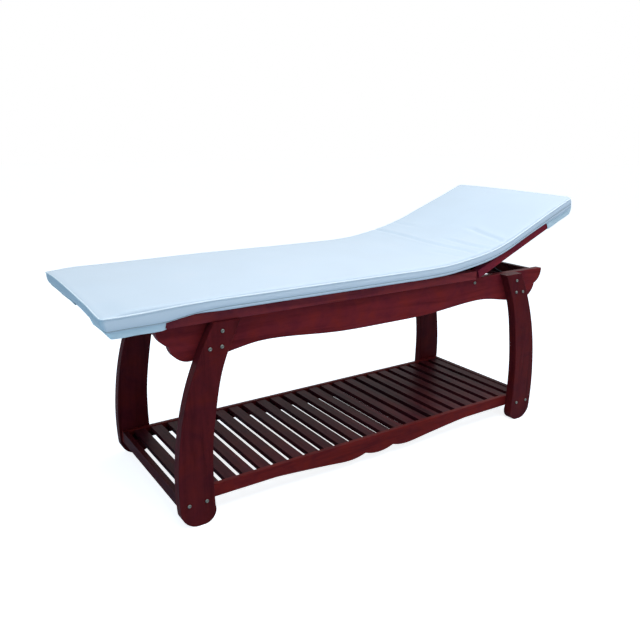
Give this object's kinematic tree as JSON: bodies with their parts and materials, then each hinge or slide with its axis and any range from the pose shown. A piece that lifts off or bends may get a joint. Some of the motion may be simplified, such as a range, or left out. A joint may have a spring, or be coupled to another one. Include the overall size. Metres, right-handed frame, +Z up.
{
  "type": "massage bed",
  "caption": "Wooden massage bed with bowed legs, scalloped side rails, an open slatted shelf, a lifting backrest on a notched prop and a thin padded mattress.",
  "frame": {"origin": "on the floor, under the middle of the bed's box with the backrest raised as pictured", "axes": "+X along the bed to the head end, +Z up, the front long side faces -Y"},
  "size_m": [1.8738, 0.6102, 0.9053],
  "materials": {
    "stained_wood": "satin",
    "slat_wood": "satin",
    "panel_plywood": "matte",
    "mattress_vinyl": "satin",
    "pocket_cloth": "satin",
    "zinc_steel": "satin",
    "screw_steel": "satin",
    "plate_steel": "satin"
  },
  "bodies": {
    "base": {"apron_front": "stained_wood", "apron_rear": "stained_wood", "cross_rail_foot": "stained_wood", "cross_rail_head": "stained_wood", "deck_angle_brackets": "plate_steel", "deck_battens": "stained_wood", "deck_bracket_screws": "screw_steel", "deck_end_rail_foot": "stained_wood", "deck_end_rail_hinge": "stained_wood", "deck_panel": "panel_plywood", "deck_panel_screws": "screw_steel", "deck_rail_front": "stained_wood", "deck_rail_rear": "stained_wood", "leg_bolts": "zinc_steel", "leg_front_foot": "stained_wood", "leg_front_head": "stained_wood", "leg_insert_nuts": "screw_steel", "leg_rear_foot": "stained_wood", "leg_rear_head": "stained_wood", "mattress_bend": "mattress_vinyl", "mattress_main": "mattress_vinyl", "mattress_pocket_front_foot": "pocket_cloth", "mattress_pocket_rear_foot": "pocket_cloth", "pivot_bolt_front": "zinc_steel", "pivot_bolt_rear": "zinc_steel", "pivot_nuts": "zinc_steel", "pivot_washers": "zinc_steel", "rack_front": "stained_wood", "rack_rear": "stained_wood", "rack_screws": "screw_steel", "shelf_end_rail_foot": "stained_wood", "shelf_end_rail_head": "stained_wood", "shelf_ledger_front": "stained_wood", "shelf_ledger_rear": "stained_wood", "shelf_ledger_screws": "screw_steel", "shelf_rail_front": "stained_wood", "shelf_rail_rear": "stained_wood", "shelf_slats": "slat_wood"},
    "backrest": {"backrest_battens": "stained_wood", "backrest_end_rail_head": "stained_wood", "backrest_end_rail_hinge": "stained_wood", "backrest_panel": "panel_plywood", "backrest_panel_screws": "screw_steel", "backrest_rail_front": "stained_wood", "backrest_rail_rear": "stained_wood", "hinge_bracket_front": "plate_steel", "hinge_bracket_rear": "plate_steel", "hinge_bracket_screws": "screw_steel", "mattress_head": "mattress_vinyl", "mattress_pocket_front_head": "pocket_cloth", "mattress_pocket_rear_head": "pocket_cloth", "prop_bolts": "zinc_steel", "prop_bracket_front": "plate_steel", "prop_bracket_rear": "plate_steel", "prop_bracket_screws": "screw_steel"},
    "prop": {"prop_leg_front": "stained_wood", "prop_leg_rear": "stained_wood", "prop_crossbar": "stained_wood"}
  },
  "joints": [
    {"name": "backrest_hinge", "type": "hinge", "parent": "base", "child": "backrest", "pos_m": [0.44605, 0, 0.6035], "axis": [0, -1, 0], "range_deg": [-23.4, 6.1], "deforming": ["mattress_bend"]},
    {"name": "prop_pivot", "type": "hinge", "parent": "backrest", "child": "prop", "pos_m": [0.58292, 0, 0.66491], "axis": [0, -1, 0], "range_deg": [-12.5, 47.2]}
  ],
  "couplings": [
    {"joint": "prop_pivot", "follows": "backrest_hinge", "ratio": -2.0096}
  ]
}
